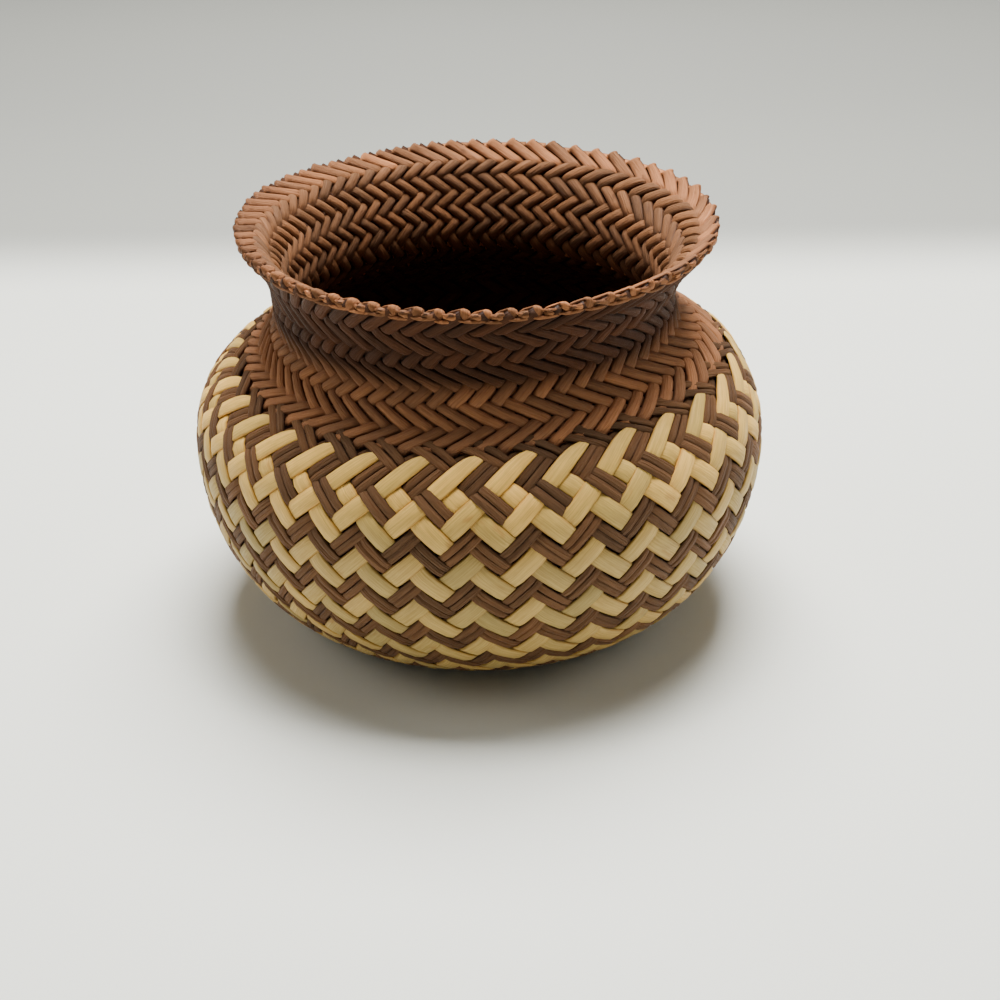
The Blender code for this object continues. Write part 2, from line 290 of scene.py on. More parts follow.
# Tints of the finishes. An edge is where it starts, where it is full and its tint: painted shade in the
# seams, with dirt and stain.
ROD_EDGE_DIRT_AND_SHADE = (0.72, 1.0, (0.4, 0.36, 0.34))
SPLINT_EDGE_STAIN_AND_SHADE = (0.76, 1.0, (0.76, 0.64, 0.5))
RIM_EDGE_DIRT_AND_SHADE = (0.76, 1.0, (0.46, 0.41, 0.38))
FIBRE_SHARE, FIBRE_TINT = 0.55, (0.62, 0.58, 0.55)
MOTTLE_SHARE, MOTTLE_TINT = 0.3, (0.78, 0.72, 0.66)
FIBRE_ROUGHNESS = 0.15
FIBRE_RANGE = (0.32, 0.68)
MOTTLE_SCALES, MOTTLE_RANGE = (260.0, 420.0), (0.3, 0.7)
STAIN_SCALES, STAIN_RANGE = (120.0, 300.0), (0.62, 0.78)
TONES_APART = 37.0
STAINS_APART = 9.0
FIBRES_PER_LENGTH = 30.0
OLD_STAIN = (0.42, 0.19, 0.04)
DIRT = (0.05, 0.016, 0.008)
# The strands under are coloured near black: painted shade deep between the wall's two faces
UNDER_SHADE_DEEP = (0.018, 0.006, 0.0025, 1.0)
UNDER_SHADE_PALE = (0.055, 0.021, 0.008, 1.0)
UNDER_CLOUD_SCALE = 900.0
SIDEWAYS, UPWARD = 0, 2

# The stage: a round table with a bowl-like rise far off, three soft lights and the camera
TABLE_RINGS = (0.35, 0.8, 1.3)
TABLE_BEND = 0.4
TABLE_TOP = 1.1
TABLE_SIDES = 96
BEND_STEPS = 12
TABLE_CLOUDS = (0.97, 1.03)
TABLE_CLOUD_SCALE = 3.0
NEAR_SHADE = (0.21, 0.28, 1.0, 0.41)
FAR_SHADE = (0.42, 0.62, 1.0, 1.12)
ROUND_SHADE = (0.75, 1.4, 1.0, 0.5)
ROOM_COLOUR = (0.95, 0.99, 0.96, 1.0)
ROOM_STRENGTH = 0.05
WINDOW_COLOUR = (1.0, 0.99, 0.96)
LIGHT_SIZE = 0.5
LIGHT_AIM = Vector((0.0, 0.0, 0.05))
LIGHTS = (
    ("Above", (0.03, 0.21, 0.80), 25.5, (1.0, 0.985, 0.95)),
    ("Left window", (-0.75, 0.0, 0.5), 2.0, WINDOW_COLOUR),
    ("Right window", (0.75, 0.0, 0.5), 1.4, WINDOW_COLOUR),
)
CAMERA_TILT = math.radians(27.5)
CAMERA_ROLL = math.radians(-0.65)
CAMERA_DISTANCE = 0.545
CAMERA_AIM = Vector((0.0051, 0.0, 0.0248))
CAMERA_LENS = 74.3
CAMERA_SENSOR = 36.0
CAMERA_CLIP = 0.01


def length_setting(name, description, default):
    return FloatProperty(name=name, description=description, default=default, unit="LENGTH")


def colour_setting(name, description, default):
    return FloatVectorProperty(name=name, description=description, default=default, subtype="COLOR")


class BasketSettings(bpy.types.PropertyGroup):
    splint_thickness: length_setting("Splint thickness", "How thick a flat cream splint is", 0.00075)
    rod_thickness: length_setting("Paired rod thickness", "How thick each brown rod of a pair is", 0.00095)
    neck_rod_thickness: length_setting("Neck rod thickness", "How thick a half-round neck rod is", 0.0014)
    arch: length_setting("Arch of a float", "How far a float's middle stands above its ends", 0.00018)
    dip: length_setting("Dip of the ends", "How far a float's ends go down under what crosses it", 0.00115)
    unevenness: length_setting("Unevenness", "How far the strands stray from an even lay", 0.00012)
    seed: IntProperty(name="Seed", description="Start of the random variation", default=7)
    cream: colour_setting("Cream splint", "Colour of the undyed splints", (0.70, 0.464, 0.127))
    brown: colour_setting("Brown rod", "Colour of the dyed pairs", (0.165, 0.079, 0.034))
    neck_brown: colour_setting("Neck rod", "Colour of the neck's rods", (0.155, 0.06, 0.02))
    rim_tan: colour_setting("Rim rod", "Colour of the worn rods at the rim", (0.35, 0.144, 0.058))
    inner_brown: colour_setting("Inner rod", "Colour of the inner wall", (0.28, 0.12, 0.047))
    floor_colour: colour_setting("Floor", "Colour of the table", (0.765, 0.78, 0.725))


# The form


def heading(start, end):
    return math.atan2(end[1] - start[1], end[0] - start[0])


def arc_between(start, end):
    """A smooth arc that leaves one station and reaches the next on their headings."""
    (start_r, start_z, start_heading), (end_r, end_z, end_heading) = start, end
    turn = end_heading - start_heading
    leave = np.array((math.cos(start_heading), math.sin(start_heading)))
    reach = np.array((math.cos(end_heading), math.sin(end_heading)))
    span = np.array((end_r - start_r, end_z - start_z))
    cross = leave[0] * reach[1] - leave[1] * reach[0]
    leave_length = (span[0] * reach[1] - span[1] * reach[0]) / cross
    reach_length = (leave[0] * span[1] - leave[1] * span[0]) / cross
    share = 4.0 / 3.0 * math.tan(turn / 4.0) / math.tan(turn / 2.0)
    handle_a = np.array((start_r, start_z)) + leave * leave_length * share
    handle_b = np.array((end_r, end_z)) - reach * reach_length * share
    t = np.linspace(0.0, 1.0, PROFILE_STEPS + 1)[:, None]
    return (
        (1 - t) ** 3 * np.array((start_r, start_z))
        + 3 * (1 - t) ** 2 * t * handle_a
        + 3 * (1 - t) * t**2 * handle_b
        + t**3 * np.array((end_r, end_z))
    )


class Meridian:
    """The outer profile from the base's edge to the rim's crest, read by the distance along it."""

    def __init__(self):
        base = (BASE_RADIUS, 0.0)
        belly = (BELLY_RADIUS, BELLY_HEIGHT)
        shoulder = (SHOULDER_RADIUS, BELLY_HEIGHT + SHOULDER_RISE)
        neck = (NECK_RADIUS, shoulder[1] + NECK_RISE)
        rim = (RIM_RADIUS, neck[1] + RIM_RISE)
        upright = math.pi / 2
        shoulder_heading = SHOULDER_SWEEP + max(heading(belly, shoulder), heading(shoulder, neck))
        rim_heading = heading(neck, rim) - RIM_SWEEP
        stations = (
            (*base, 0.0),
            (*belly, upright),
            (*shoulder, shoulder_heading),
            (*neck, upright),
            (*rim, rim_heading),
        )
        points = [base]
        for start, end in zip(stations, stations[1:]):
            points.extend(arc_between(start, end)[1:])
        points = np.array(points)
        self.radius, self.height = points[:, 0], points[:, 1]
        steps = np.hypot(np.diff(self.radius), np.diff(self.height))
        self.distance = np.concatenate([[0.0], np.cumsum(steps)])
        self.length = self.distance[-1]
        self.shoulder = self.distance[2 * PROFILE_STEPS]
        self.fold = self.length - FOLD_HEIGHT
        along = np.stack([np.gradient(self.radius, self.distance), np.gradient(self.height, self.distance)])
        along /= np.hypot(along[0], along[1])
        self.out_r, self.out_z = along[1], -along[0]

    def at(self, distance):
        """Radius, height and outward direction. Past the crest the line runs on."""
        inside = np.clip(distance, 0.0, self.length)
        out_r = np.interp(inside, self.distance, self.out_r)
        out_z = np.interp(inside, self.distance, self.out_z)
        past = distance - inside
        radius = np.interp(inside, self.distance, self.radius) - out_z * past
        height = np.interp(inside, self.distance, self.height) + out_r * past
        return radius, height, out_r, out_z


class WeaveLevels:
    """Turns a level of the weave, counted in crossings up the wall, into a distance."""

    def __init__(self, meridian):
        distance = np.linspace(0.0, meridian.length, LEVEL_STEPS + 1)
        radius = np.interp(distance, meridian.distance, meridian.radius)
        half_pitch = math.pi * radius / STRANDS_EACH_WAY
        body_rise = half_pitch * BODY_LAY
        sine = np.minimum(ROD_PITCH / (2.0 * half_pitch), STEEPEST_SINE)
        neck_rise = half_pitch * sine / np.sqrt(1.0 - sine * sine)
        below_shoulder = meridian.shoulder - distance
        share = (LAY_CHANGE_LOW - below_shoulder) / (LAY_CHANGE_LOW - LAY_CHANGE_HIGH)
        share = np.clip(share, 0.0, 1.0)
        rise = body_rise * (1.0 - share) + neck_rise * share
        step = meridian.length / LEVEL_STEPS
        count = np.concatenate([[0.0], np.cumsum(step / rise[1:])])
        marks = (BASE_MAT_REACH, meridian.shoulder, meridian.fold)
        foot, shoulder, fold = np.interp(marks, distance, count)
        body_stretch = (SHOULDER_LEVEL - LOWEST_LEVEL) / (shoulder - foot)
        neck_stretch = (NECK_TOP_LEVEL - SHOULDER_LEVEL) / (fold - shoulder)
        above = count - shoulder
        self.level = SHOULDER_LEVEL + above * np.where(above < 0.0, body_stretch, neck_stretch)
        self.distance = distance
        self.last_rise = rise[-1] / neck_stretch

    def distance_at(self, level):
        """Distance for an array of levels. Above the crest it runs on at the last rise."""
        past = np.maximum(level - self.level[-1], 0.0) * self.last_rise
        return np.interp(level, self.level, self.distance) + past


MERIDIAN = Meridian()
LEVELS = WeaveLevels(MERIDIAN)


def hand_lay(across_round, level):
    """Where the weaver's hand put the crossing (x, level): the angle round and the level reached."""
    even = math.pi * across_round / STRANDS_EACH_WAY - LAY_TURN
    height = np.clip(level / HEIGHT_UNIT, *HEIGHT_LIMITS)
    side, front = np.sin(even), np.cos(even)
    laid_level = (
        level
        + LEVEL_BY_SIDE * side
        + LEVEL_BY_FRONT * (front - LEVEL_FRONT_ZERO)
        + LEVEL_BY_SIDE_TWICE * np.sin(2.0 * even)
        + LEVEL_BY_HEIGHT_AT_SIDE * height * side
    )
    angle = even + ANGLE_BY_FRONT * (front - ANGLE_FRONT_ZERO) + ANGLE_BY_HEIGHT_AT_SIDE * height * side
    for power, (by_height, by_side) in enumerate(zip(ANGLE_BY_HEIGHT, ANGLE_BY_SIDE), start=1):
        angle = angle + by_height * height**power + by_side * np.sin(power * even)
    fade_in = np.clip((level - LOWEST_LEVEL) / STRAY_FADES_IN, 0.0, 1.0)
    fade_out = np.clip((NECK_TOP_LEVEL - level) / STRAY_FADES_OUT, 0.0, 1.0)
    return angle, level + (laid_level - level) * np.minimum(fade_in, fade_out)


def form_table(strays):
    """The strays at one side, read at even steps and rounded off between the stations."""
    distance = np.arange(0.0, MERIDIAN.length + FORM_TABLE_STEP, FORM_TABLE_STEP)
    window = np.hanning(2 * FORM_ROUNDING_STEPS + 1)
    table = np.pad(np.interp(distance, FORM_DISTANCES, strays), FORM_ROUNDING_STEPS, mode="edge")
    return distance, np.convolve(table, window / window.sum(), mode="valid")


RIGHT_TABLE = form_table(FORM_RIGHT)
LEFT_TABLE = form_table(FORM_LEFT)


def hand_form(angle, distance):
    """How far the wall strays outward from the turned form at an angle and a distance up it."""
    sine = np.sin(angle)
    stray = np.where(sine > 0.0, np.interp(distance, *RIGHT_TABLE), np.interp(distance, *LEFT_TABLE))
    return sine * sine * stray


def formed(angle, distance, depth):
    """Points and outward directions of the hand-made wall, sunk by depth."""
    radius, height, out_r, out_z = MERIDIAN.at(distance)
    stray = hand_form(angle, distance)
    tilt = (hand_form(angle, distance + FORM_TABLE_STEP) - stray) / FORM_TABLE_STEP
    size = np.hypot(out_r, out_z - tilt)
    out_r, out_z = out_r / size, (out_z - tilt) / size
    radius = radius + stray - out_r * depth
    height = height - out_z * depth
    sine, cosine = np.sin(angle), np.cos(angle)
    points = np.stack([radius * sine, -radius * cosine, height], axis=-1)
    outward = np.stack([out_r * sine, -out_r * cosine, out_z], axis=-1)
    return points, outward


def wall_point(across_round, level, depth):
    """Points and outward directions of the wall for arrays of weave coordinates."""
    angle, laid_level = hand_lay(across_round, level)
    return formed(angle, LEVELS.distance_at(laid_level), depth)


def edge_depth(level, depth):
    """The inner wall's depth, which thins towards the rim."""
    share = np.clip((level - EDGE_THINS_FROM) / (EDGE_THIN_AT - EDGE_THINS_FROM), 0.0, 1.0)
    share = share * share * (3.0 - 2.0 * share)
    return depth + (EDGE_DEPTH - depth) * share


def inner_point(across_round, level, depth):
    """Like wall_point for the inner basket, whose zigzags stand straight under the rim."""
    angle, _ = hand_lay(across_round, NECK_TOP_LEVEL)
    return formed(angle, LEVELS.distance_at(level), edge_depth(level, depth))


def base_point(across_round, level, depth):
    """Like wall_point for the flat mats, whose edge rises with the belly's foot."""
    x = ((across_round - level) / 2.0 - MAT_MIDDLE) * MAT_PITCH
    y = ((across_round + level) / 2.0 - MAT_MIDDLE) * MAT_PITCH
    radius = np.hypot(x, y)
    foot = MERIDIAN.distance < FOOT_REACH
    height = np.interp(radius, MERIDIAN.radius[foot], MERIDIAN.height[foot])
    out_r = np.interp(radius, MERIDIAN.radius[foot], MERIDIAN.out_r[foot])
    out_z = np.interp(radius, MERIDIAN.radius[foot], MERIDIAN.out_z[foot])
    safe = np.maximum(radius, 1e-6)
    outward = np.stack([out_r * x / safe, out_r * y / safe, out_z], axis=-1)
    points = np.stack([x, y, height], axis=-1) - outward * depth
    return points, outward


def crest_level(angle):
    """The level at which the rods fold over, lower in front and at the back's left."""
    low_spot = np.maximum(np.cos(angle + CREST_LOW_AT), 0.0) ** CREST_LOW_SHARPNESS
    return CREST_MIDDLE - CREST_RISE * np.cos(angle) - CREST_LOW_BY * low_spot


def left_back(angle):
    """How far an angle lies in the stretch at the back's left, where the folded rods lie flatter."""
    return float(np.maximum(np.cos(angle + LEAN_AT), 0.0) ** 2)


def link(name, mesh):
    """A new object for the mesh, in the scene."""
    item = bpy.data.objects.new(name, mesh)
    bpy.context.scene.collection.objects.link(item)
    return item


def guide_wall(name, depth, facing, place=wall_point):
    """A grid over the weave's coordinates that the floats are laid on, kept only while building."""
    columns = int(GUIDE_WIDTH / GUIDE_STEP) + 1
    rows = int(GUIDE_TALL / GUIDE_STEP) + 1
    across_round = GUIDE_LEFT + GUIDE_STEP * np.arange(columns)
    level = GUIDE_FOOT + GUIDE_STEP * np.arange(rows)
    grid_x, grid_level = np.meshgrid(across_round, level)
    points, outward = place(grid_x.ravel(), grid_level.ravel(), depth)
    corner = np.arange(columns * rows).reshape(rows, columns)
    faces = np.stack([corner[:-1, :-1], corner[:-1, 1:], corner[1:, 1:], corner[1:, :-1]], axis=-1)
    faces = faces.reshape(-1, 4)
    mesh = bpy.data.meshes.new(name)
    mesh.from_pydata(points.tolist(), [], faces.tolist())
    facings = (outward * facing).astype(np.float32).ravel()
    mesh.attributes.new("outward", "FLOAT_VECTOR", "POINT").data.foreach_set("vector", facings)
    across_share = (grid_x.ravel() - GUIDE_LEFT) / GUIDE_WIDTH
    level_share = (grid_level.ravel() - GUIDE_FOOT) / GUIDE_TALL
    lattice = np.stack([across_share, level_share], axis=-1)
    uv = mesh.uv_layers.new(name="lattice")
    uv.data.foreach_set("uv", lattice[faces.ravel()].astype(np.float32).ravel())
    return link(name, mesh)


def ring_faces(rings, around):
    """Quads between rings of points that lie one after the other in a mesh."""
    faces = []
    for ring in range(rings - 1):
        for index in range(around):
            near = ring * around + index
            far = ring * around + (index + 1) % around
            faces.append((near, far, far + around, near + around))
    return faces


def closed_rings(name, points, rings, around):
    """A mesh of rings with a face over the first and the last."""
    faces = ring_faces(rings, around)
    faces.append(tuple(range(around - 1, -1, -1)))
    last = (rings - 1) * around
    faces.append(tuple(range(last, last + around)))
    mesh = bpy.data.meshes.new(name)
    mesh.from_pydata(points, [], faces)
    return mesh


def float_shape(name, section, stations=STATIONS):
    """A closed float in its own measure: x along from 0 to 1, y across from -1 to 1, z thickness."""
    points = [(station, across, up) for station in stations for across, up in section]
    return link(name, closed_rings(name, points, len(stations), len(section)))


def leaf_shape(name, section):
    """Like float_shape, with one side cut to a rounded leaf at the far end."""
    shape = float_shape(name, section, tuple(row[0] for row in LEAF_SPREAD))
    for number, vertex in enumerate(shape.data.vertices):
        _, low, high = LEAF_SPREAD[number // len(section)]
        vertex.co.y = low + (high - low) * (vertex.co.y + 1.0) / 2.0
    return shape


# The weave tree


class TreeMaker:
    """Short words for placing and linking the nodes of one tree."""

    def __init__(self, tree):
        self.tree = tree

    def node(self, kind, inputs=(), **settings):
        made = self.tree.nodes.new(kind)
        for key, value in settings.items():
            setattr(made, key, value)
        for key, value in dict(inputs).items():
            socket = made.inputs[key]
            if isinstance(value, bpy.types.NodeSocket):
                self.tree.links.new(value, socket)
            else:
                socket.default_value = value
        return made

    def math(self, operation, *values):
        return self.node("ShaderNodeMath", enumerate(values), operation=operation).outputs[0]

    def plus(self, first, second):
        return self.math("ADD", first, second)

    def minus(self, first, second):
        return self.math("SUBTRACT", first, second)

    def times(self, first, second):
        return self.math("MULTIPLY", first, second)

    def vector(self, operation, *values):
        return self.node("ShaderNodeVectorMath", enumerate(values), operation=operation).outputs[0]

    def scale(self, vector, factor):
        inputs = {"Vector": vector, "Scale": factor}
        return self.node("ShaderNodeVectorMath", inputs, operation="SCALE").outputs[0]

    def combine(self, x, y, z=0.0):
        return self.node("ShaderNodeCombineXYZ", {0: x, 1: y, 2: z}).outputs[0]

    def separate(self, vector):
        return self.node("ShaderNodeSeparateXYZ", {0: vector}).outputs

    def blend(self, share, start, end):
        return self.plus(start, self.times(share, self.minus(end, start)))

    def smooth(self, value, low, high, to_low=0.0, to_high=1.0):
        inputs = {"Value": value, "From Min": low, "From Max": high, "To Min": to_low, "To Max": to_high}
        return self.node("ShaderNodeMapRange", inputs, interpolation_type="SMOOTHSTEP").outputs[0]

    def noise(self, vector, scale=1.0, detail=2.0):
        return self.node("ShaderNodeTexNoise", {"Vector": vector, "Scale": scale, "Detail": detail}).outputs

    def attribute(self, name):
        kind = "GeometryNodeInputNamedAttribute"
        return self.node(kind, {"Name": name}, data_type="FLOAT_VECTOR").outputs[0]

    def mix(self, share, first, second, mode="MIX"):
        inputs = {"Factor": share, 6: first, 7: second}
        return self.node("ShaderNodeMix", inputs, data_type="RGBA", blend_type=mode).outputs[2]

    def tint(self, colour, share, tint):
        """The colour, taken by a share towards itself times a tint."""
        return self.mix(share, colour, self.mix(1.0, colour, (*tint, 1.0), "MULTIPLY"))


def weave_tree():
    """Lays one closed float on each point's run of the guide wall."""
    tree = bpy.data.node_groups.new("Woven floats", "GeometryNodeTree")
    face = tree.interface
    face.new_socket("Geometry", in_out="INPUT", socket_type="NodeSocketGeometry")
    for title in ("Guide wall", "Wall beyond the fold", "Float shape"):
        face.new_socket(title, in_out="INPUT", socket_type="NodeSocketObject")
    for title in ("Arch", "Dip", "Unevenness"):
        socket = face.new_socket(title, in_out="INPUT", socket_type="NodeSocketFloat")
        socket.subtype = "DISTANCE"
    face.new_socket("Dip reach", in_out="INPUT", socket_type="NodeSocketFloat")
    face.new_socket("Seed", in_out="INPUT", socket_type="NodeSocketInt")
    face.new_socket("Finish", in_out="INPUT", socket_type="NodeSocketMaterial")
    face.new_socket("Geometry", in_out="OUTPUT", socket_type="NodeSocketGeometry")
    make = TreeMaker(tree)
    given = make.node("NodeGroupInput").outputs

    def mesh_of(title):
        return make.node("GeometryNodeObjectInfo", {"Object": given[title]}).outputs["Geometry"]

    guide, beyond = mesh_of("Guide wall"), mesh_of("Wall beyond the fold")
    floats = {"Points": given["Geometry"], "Instance": mesh_of("Float shape")}
    placed = make.node("GeometryNodeInstanceOnPoints", floats).outputs[0]
    real = make.node("GeometryNodeRealizeInstances", {"Geometry": placed}).outputs[0]

    station, side, up = make.separate(make.node("GeometryNodeInputPosition").outputs[0])[:3]
    start, end, family = make.separate(make.attribute("run"))[:3]
    across_start, across_end, tone = make.separate(make.attribute("track"))[:3]
    half_start, half_end, thickness = make.separate(make.attribute("girth"))[:3]
    lift, dip_start, dip_end = make.separate(make.attribute("lie"))[:3]
    fold_at, drift, skew = make.separate(make.attribute("bend"))[:3]

    offset = make.times(side, make.blend(station, half_start, half_end))
    along = make.minus(make.blend(station, start, end), make.times(skew, offset))
    across = make.plus(make.blend(station, across_start, across_end), offset)
    past_fold = make.minus(along, fold_at)
    near_along = make.minus(along, make.math("MAXIMUM", past_fold, 0.0))
    round_wall = make.plus(near_along, across)
    level = make.times(family, make.minus(near_along, across))
    down = make.math("MAXIMUM", make.minus(past_fold, FOLD_TURN_DOWN), 0.0)
    far_round = make.plus(round_wall, make.times(drift, down))
    far_level = make.minus(level, down)

    def on_guide(wall, round_value, level_value, value):
        lattice = make.combine(
            make.math("DIVIDE", make.minus(round_value, GUIDE_LEFT), GUIDE_WIDTH),
            make.math("DIVIDE", make.minus(level_value, GUIDE_FOOT), GUIDE_TALL),
        )
        inputs = {0: wall, "Value": value, 2: make.attribute("lattice"), 3: lattice}
        return make.node("GeometryNodeSampleUVSurface", inputs, data_type="FLOAT_VECTOR").outputs["Value"]

    own_place = make.node("GeometryNodeInputPosition").outputs[0]
    own_outward = make.attribute("outward")
    near_place = on_guide(guide, round_wall, level, own_place)
    near_outward = on_guide(guide, round_wall, level, own_outward)
    far_place = on_guide(beyond, far_round, far_level, own_place)
    far_outward = on_guide(beyond, far_round, far_level, own_outward)
    share = make.smooth(past_fold, 0.0, FOLD_RUN)
    stay = make.minus(1.0, share)
    crown = make.times(make.times(share, stay), 4.0)
    upright = (0.0, 0.0, 1.0)
    upward_part = make.node("ShaderNodeVectorMath", {0: far_outward, 1: upright}, operation="DOT_PRODUCT")
    leaning = make.scale(far_outward, upward_part.outputs["Value"])
    rising = make.vector("NORMALIZE", make.vector("SUBTRACT", upright, leaning))
    place = make.vector("ADD", make.scale(near_place, stay), make.scale(far_place, share))
    place = make.vector("ADD", place, make.scale(rising, make.times(crown, FOLD_CROWN)))
    outward = make.vector("ADD", make.scale(near_outward, stay), make.scale(far_outward, share))
    outward = make.vector("NORMALIZE", make.vector("ADD", outward, make.scale(rising, crown)))

    def sunk(from_end, dip):
        return make.times(make.smooth(from_end, 0.0, given["Dip reach"], 1.0, 0.0), dip)

    ends = make.plus(sunk(make.minus(along, start), dip_start), sunk(make.minus(end, along), dip_end))
    sink = make.times(ends, given["Dip"])
    from_middle = make.minus(make.times(station, 2.0), 1.0)
    rise = make.times(make.minus(1.0, make.times(from_middle, from_middle)), given["Arch"])
    body = make.times(make.minus(up, 1.0), thickness)
    height = make.minus(make.plus(make.plus(lift, rise), body), sink)

    grain = make.combine(
        make.times(along, WANDER_ALONG), make.times(across, WANDER_ACROSS), make.plus(tone, given["Seed"])
    )
    wander = make.vector("SUBTRACT", make.noise(grain, detail=1.0)["Color"], (0.5, 0.5, 0.5))
    stray = make.scale(wander, make.times(given["Unevenness"], 2.0))
    spot = make.vector("ADD", make.vector("ADD", place, make.scale(outward, height)), stray)

    def store(geometry, name, value, kind="FLOAT", domain="POINT"):
        inputs = {"Geometry": geometry, "Name": name, "Value": value}
        return make.node("GeometryNodeStoreNamedAttribute", inputs, data_type=kind, domain=domain).outputs[0]

    strand = make.combine(make.times(along, STRAND_LENGTH_SCALE), make.times(across, STRAND_LENGTH_SCALE))
    stored = store(real, "strand", strand, "FLOAT2", "CORNER")
    stored = store(store(stored, "tone", tone), "side", side)
    moved = make.node("GeometryNodeSetPosition", {"Geometry": stored, "Position": spot}).outputs[0]
    smooth = make.node("GeometryNodeSetShadeSmooth", {"Geometry": moved}).outputs[0]
    for name in ("run", "track", "girth", "lie", "bend"):
        smooth = make.node("GeometryNodeRemoveAttribute", {"Geometry": smooth, "Name": name}).outputs[0]
    finished = make.node("GeometryNodeSetMaterial", {"Geometry": smooth, "Material": given["Finish"]})
    make.node("NodeGroupOutput", {"Geometry": finished.outputs[0]})
    return tree


class Runs:
    """The floats of one piece, gathered before they are laid."""

    def __init__(self, seed):
        self.rows = []
        self.random = np.random.default_rng(seed)

    def add(
        self, family, across, start, end, half, thickness,
        lift=0.0, dips=(1.0, 1.0), tone=None, fold_at=NO_FOLD, drift=0.0, skew=0.0,
    ):
        """One float. Pairs for across and half give its start and its end."""
        across_start, across_end = across if isinstance(across, tuple) else (across, across)
        half_start, half_end = half if isinstance(half, tuple) else (half, half)
        centre = (start + end + across_start + across_end) / 2.0
        shift = STRANDS_EACH_WAY * math.floor(centre / (2.0 * STRANDS_EACH_WAY))
        sway = self.random.uniform(-SWAY, SWAY, 2)
        waver = self.random.uniform(*WAVER, 2)
        if tone is None:
            tone = float(self.random.random())
        self.rows.append(
            (
                (start - shift, end - shift, family),
                (across_start - shift + sway[0], across_end - shift + sway[1], tone),
                (half_start * waver[0], half_end * waver[1], thickness),
                (lift + float(self.random.uniform(-LIFT_STRAY, LIFT_STRAY)), dips[0], dips[1]),
                (fold_at - shift, drift, skew),
            )
        )

    def add_to_mat(self, family, across, start, end, thickness, lift):
        """One float of a mat, laid without sway."""
        tone = float(self.random.random())
        track, girth = (across, across, tone), (MAT_HALF, MAT_HALF, thickness)
        self.rows.append(((start, end, family), track, girth, (lift, 1.0, 1.0), (NO_FOLD, 0.0, 0.0)))


def lay(name, runs, guide, shape, finish, node, dip_reach=DIP_REACH, beyond=None):
    """Evaluates the weave tree over the gathered runs and keeps the result as one plain mesh."""
    settings = bpy.context.scene.basket
    mesh = bpy.data.meshes.new(name)
    mesh.from_pydata([(0.0, 0.0, 0.0)] * len(runs.rows), [], [])
    for column, title in enumerate(("run", "track", "girth", "lie", "bend")):
        values = np.array([row[column] for row in runs.rows], np.float32)
        mesh.attributes.new(title, "FLOAT_VECTOR", "POINT").data.foreach_set("vector", values.ravel())
    piece = link(name, mesh)
    modifier = piece.modifiers.new("Woven floats", "NODES")
    modifier.node_group = BUILT["tree"]
    given = {
        "Guide wall": BUILT[guide],
        "Wall beyond the fold": BUILT[beyond or guide],
        "Float shape": BUILT[shape],
        "Arch": settings.arch,
        "Dip": settings.dip,
        "Unevenness": settings.unevenness,
        "Dip reach": dip_reach,
        "Seed": settings.seed,
        "Finish": BUILT[finish],
    }
    for item in BUILT["tree"].interface.items_tree:
        if item.in_out == "INPUT" and item.name in given:
            modifier[item.identifier] = given[item.name]
    graph = bpy.context.evaluated_depsgraph_get()
    laid = bpy.data.meshes.new_from_object(piece.evaluated_get(graph))
    laid.name = name
    piece.modifiers.clear()
    piece.data = laid
    bpy.data.meshes.remove(mesh)
    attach(piece, "root")
    if node:
        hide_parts(node)


# The finishes


def fibre_group():
    """Fibres that run along a strand, slow mottling and scattered stains."""
    group = bpy.data.node_groups.new("Strand fibres", "ShaderNodeTree")
    face = group.interface
    face.new_socket("Strand", in_out="INPUT", socket_type="NodeSocketVector")
    for title in ("Tone", "Fibre width", "Fibre length"):
        face.new_socket(title, in_out="INPUT", socket_type="NodeSocketFloat")
    for title in ("Fibres", "Mottle", "Stain"):
        face.new_socket(title, in_out="OUTPUT", socket_type="NodeSocketFloat")
    make = TreeMaker(group)
    given = make.node("NodeGroupInput").outputs
    along, across = make.separate(given["Strand"])[:2]
    depth = make.times(given["Tone"], TONES_APART)
    lengthwise = make.math("DIVIDE", along, given["Fibre length"])
    stretched = make.combine(lengthwise, make.math("DIVIDE", across, given["Fibre width"]), depth)
    fine = {"Vector": stretched, "Scale": 1.0, "Detail": 3.0, "Roughness": 0.6}
    fibres = make.smooth(make.node("ShaderNodeTexNoise", fine).outputs[0], *FIBRE_RANGE)

    def cloud(scales, place, limits):
        spot = make.combine(make.times(along, scales[0]), make.times(across, scales[1]), place)
        return make.smooth(make.noise(spot)[0], *limits)

    mottle = cloud(MOTTLE_SCALES, depth, MOTTLE_RANGE)
    stain = cloud(STAIN_SCALES, make.plus(depth, STAINS_APART), STAIN_RANGE)
    make.node("NodeGroupOutput", {"Fibres": fibres, "Mottle": mottle, "Stain": stain})
    return group


def new_material(name):
    material = bpy.data.materials.new(name)
    material.use_nodes = True
    return material, TreeMaker(material.node_tree), material.node_tree.nodes["Principled BSDF"]


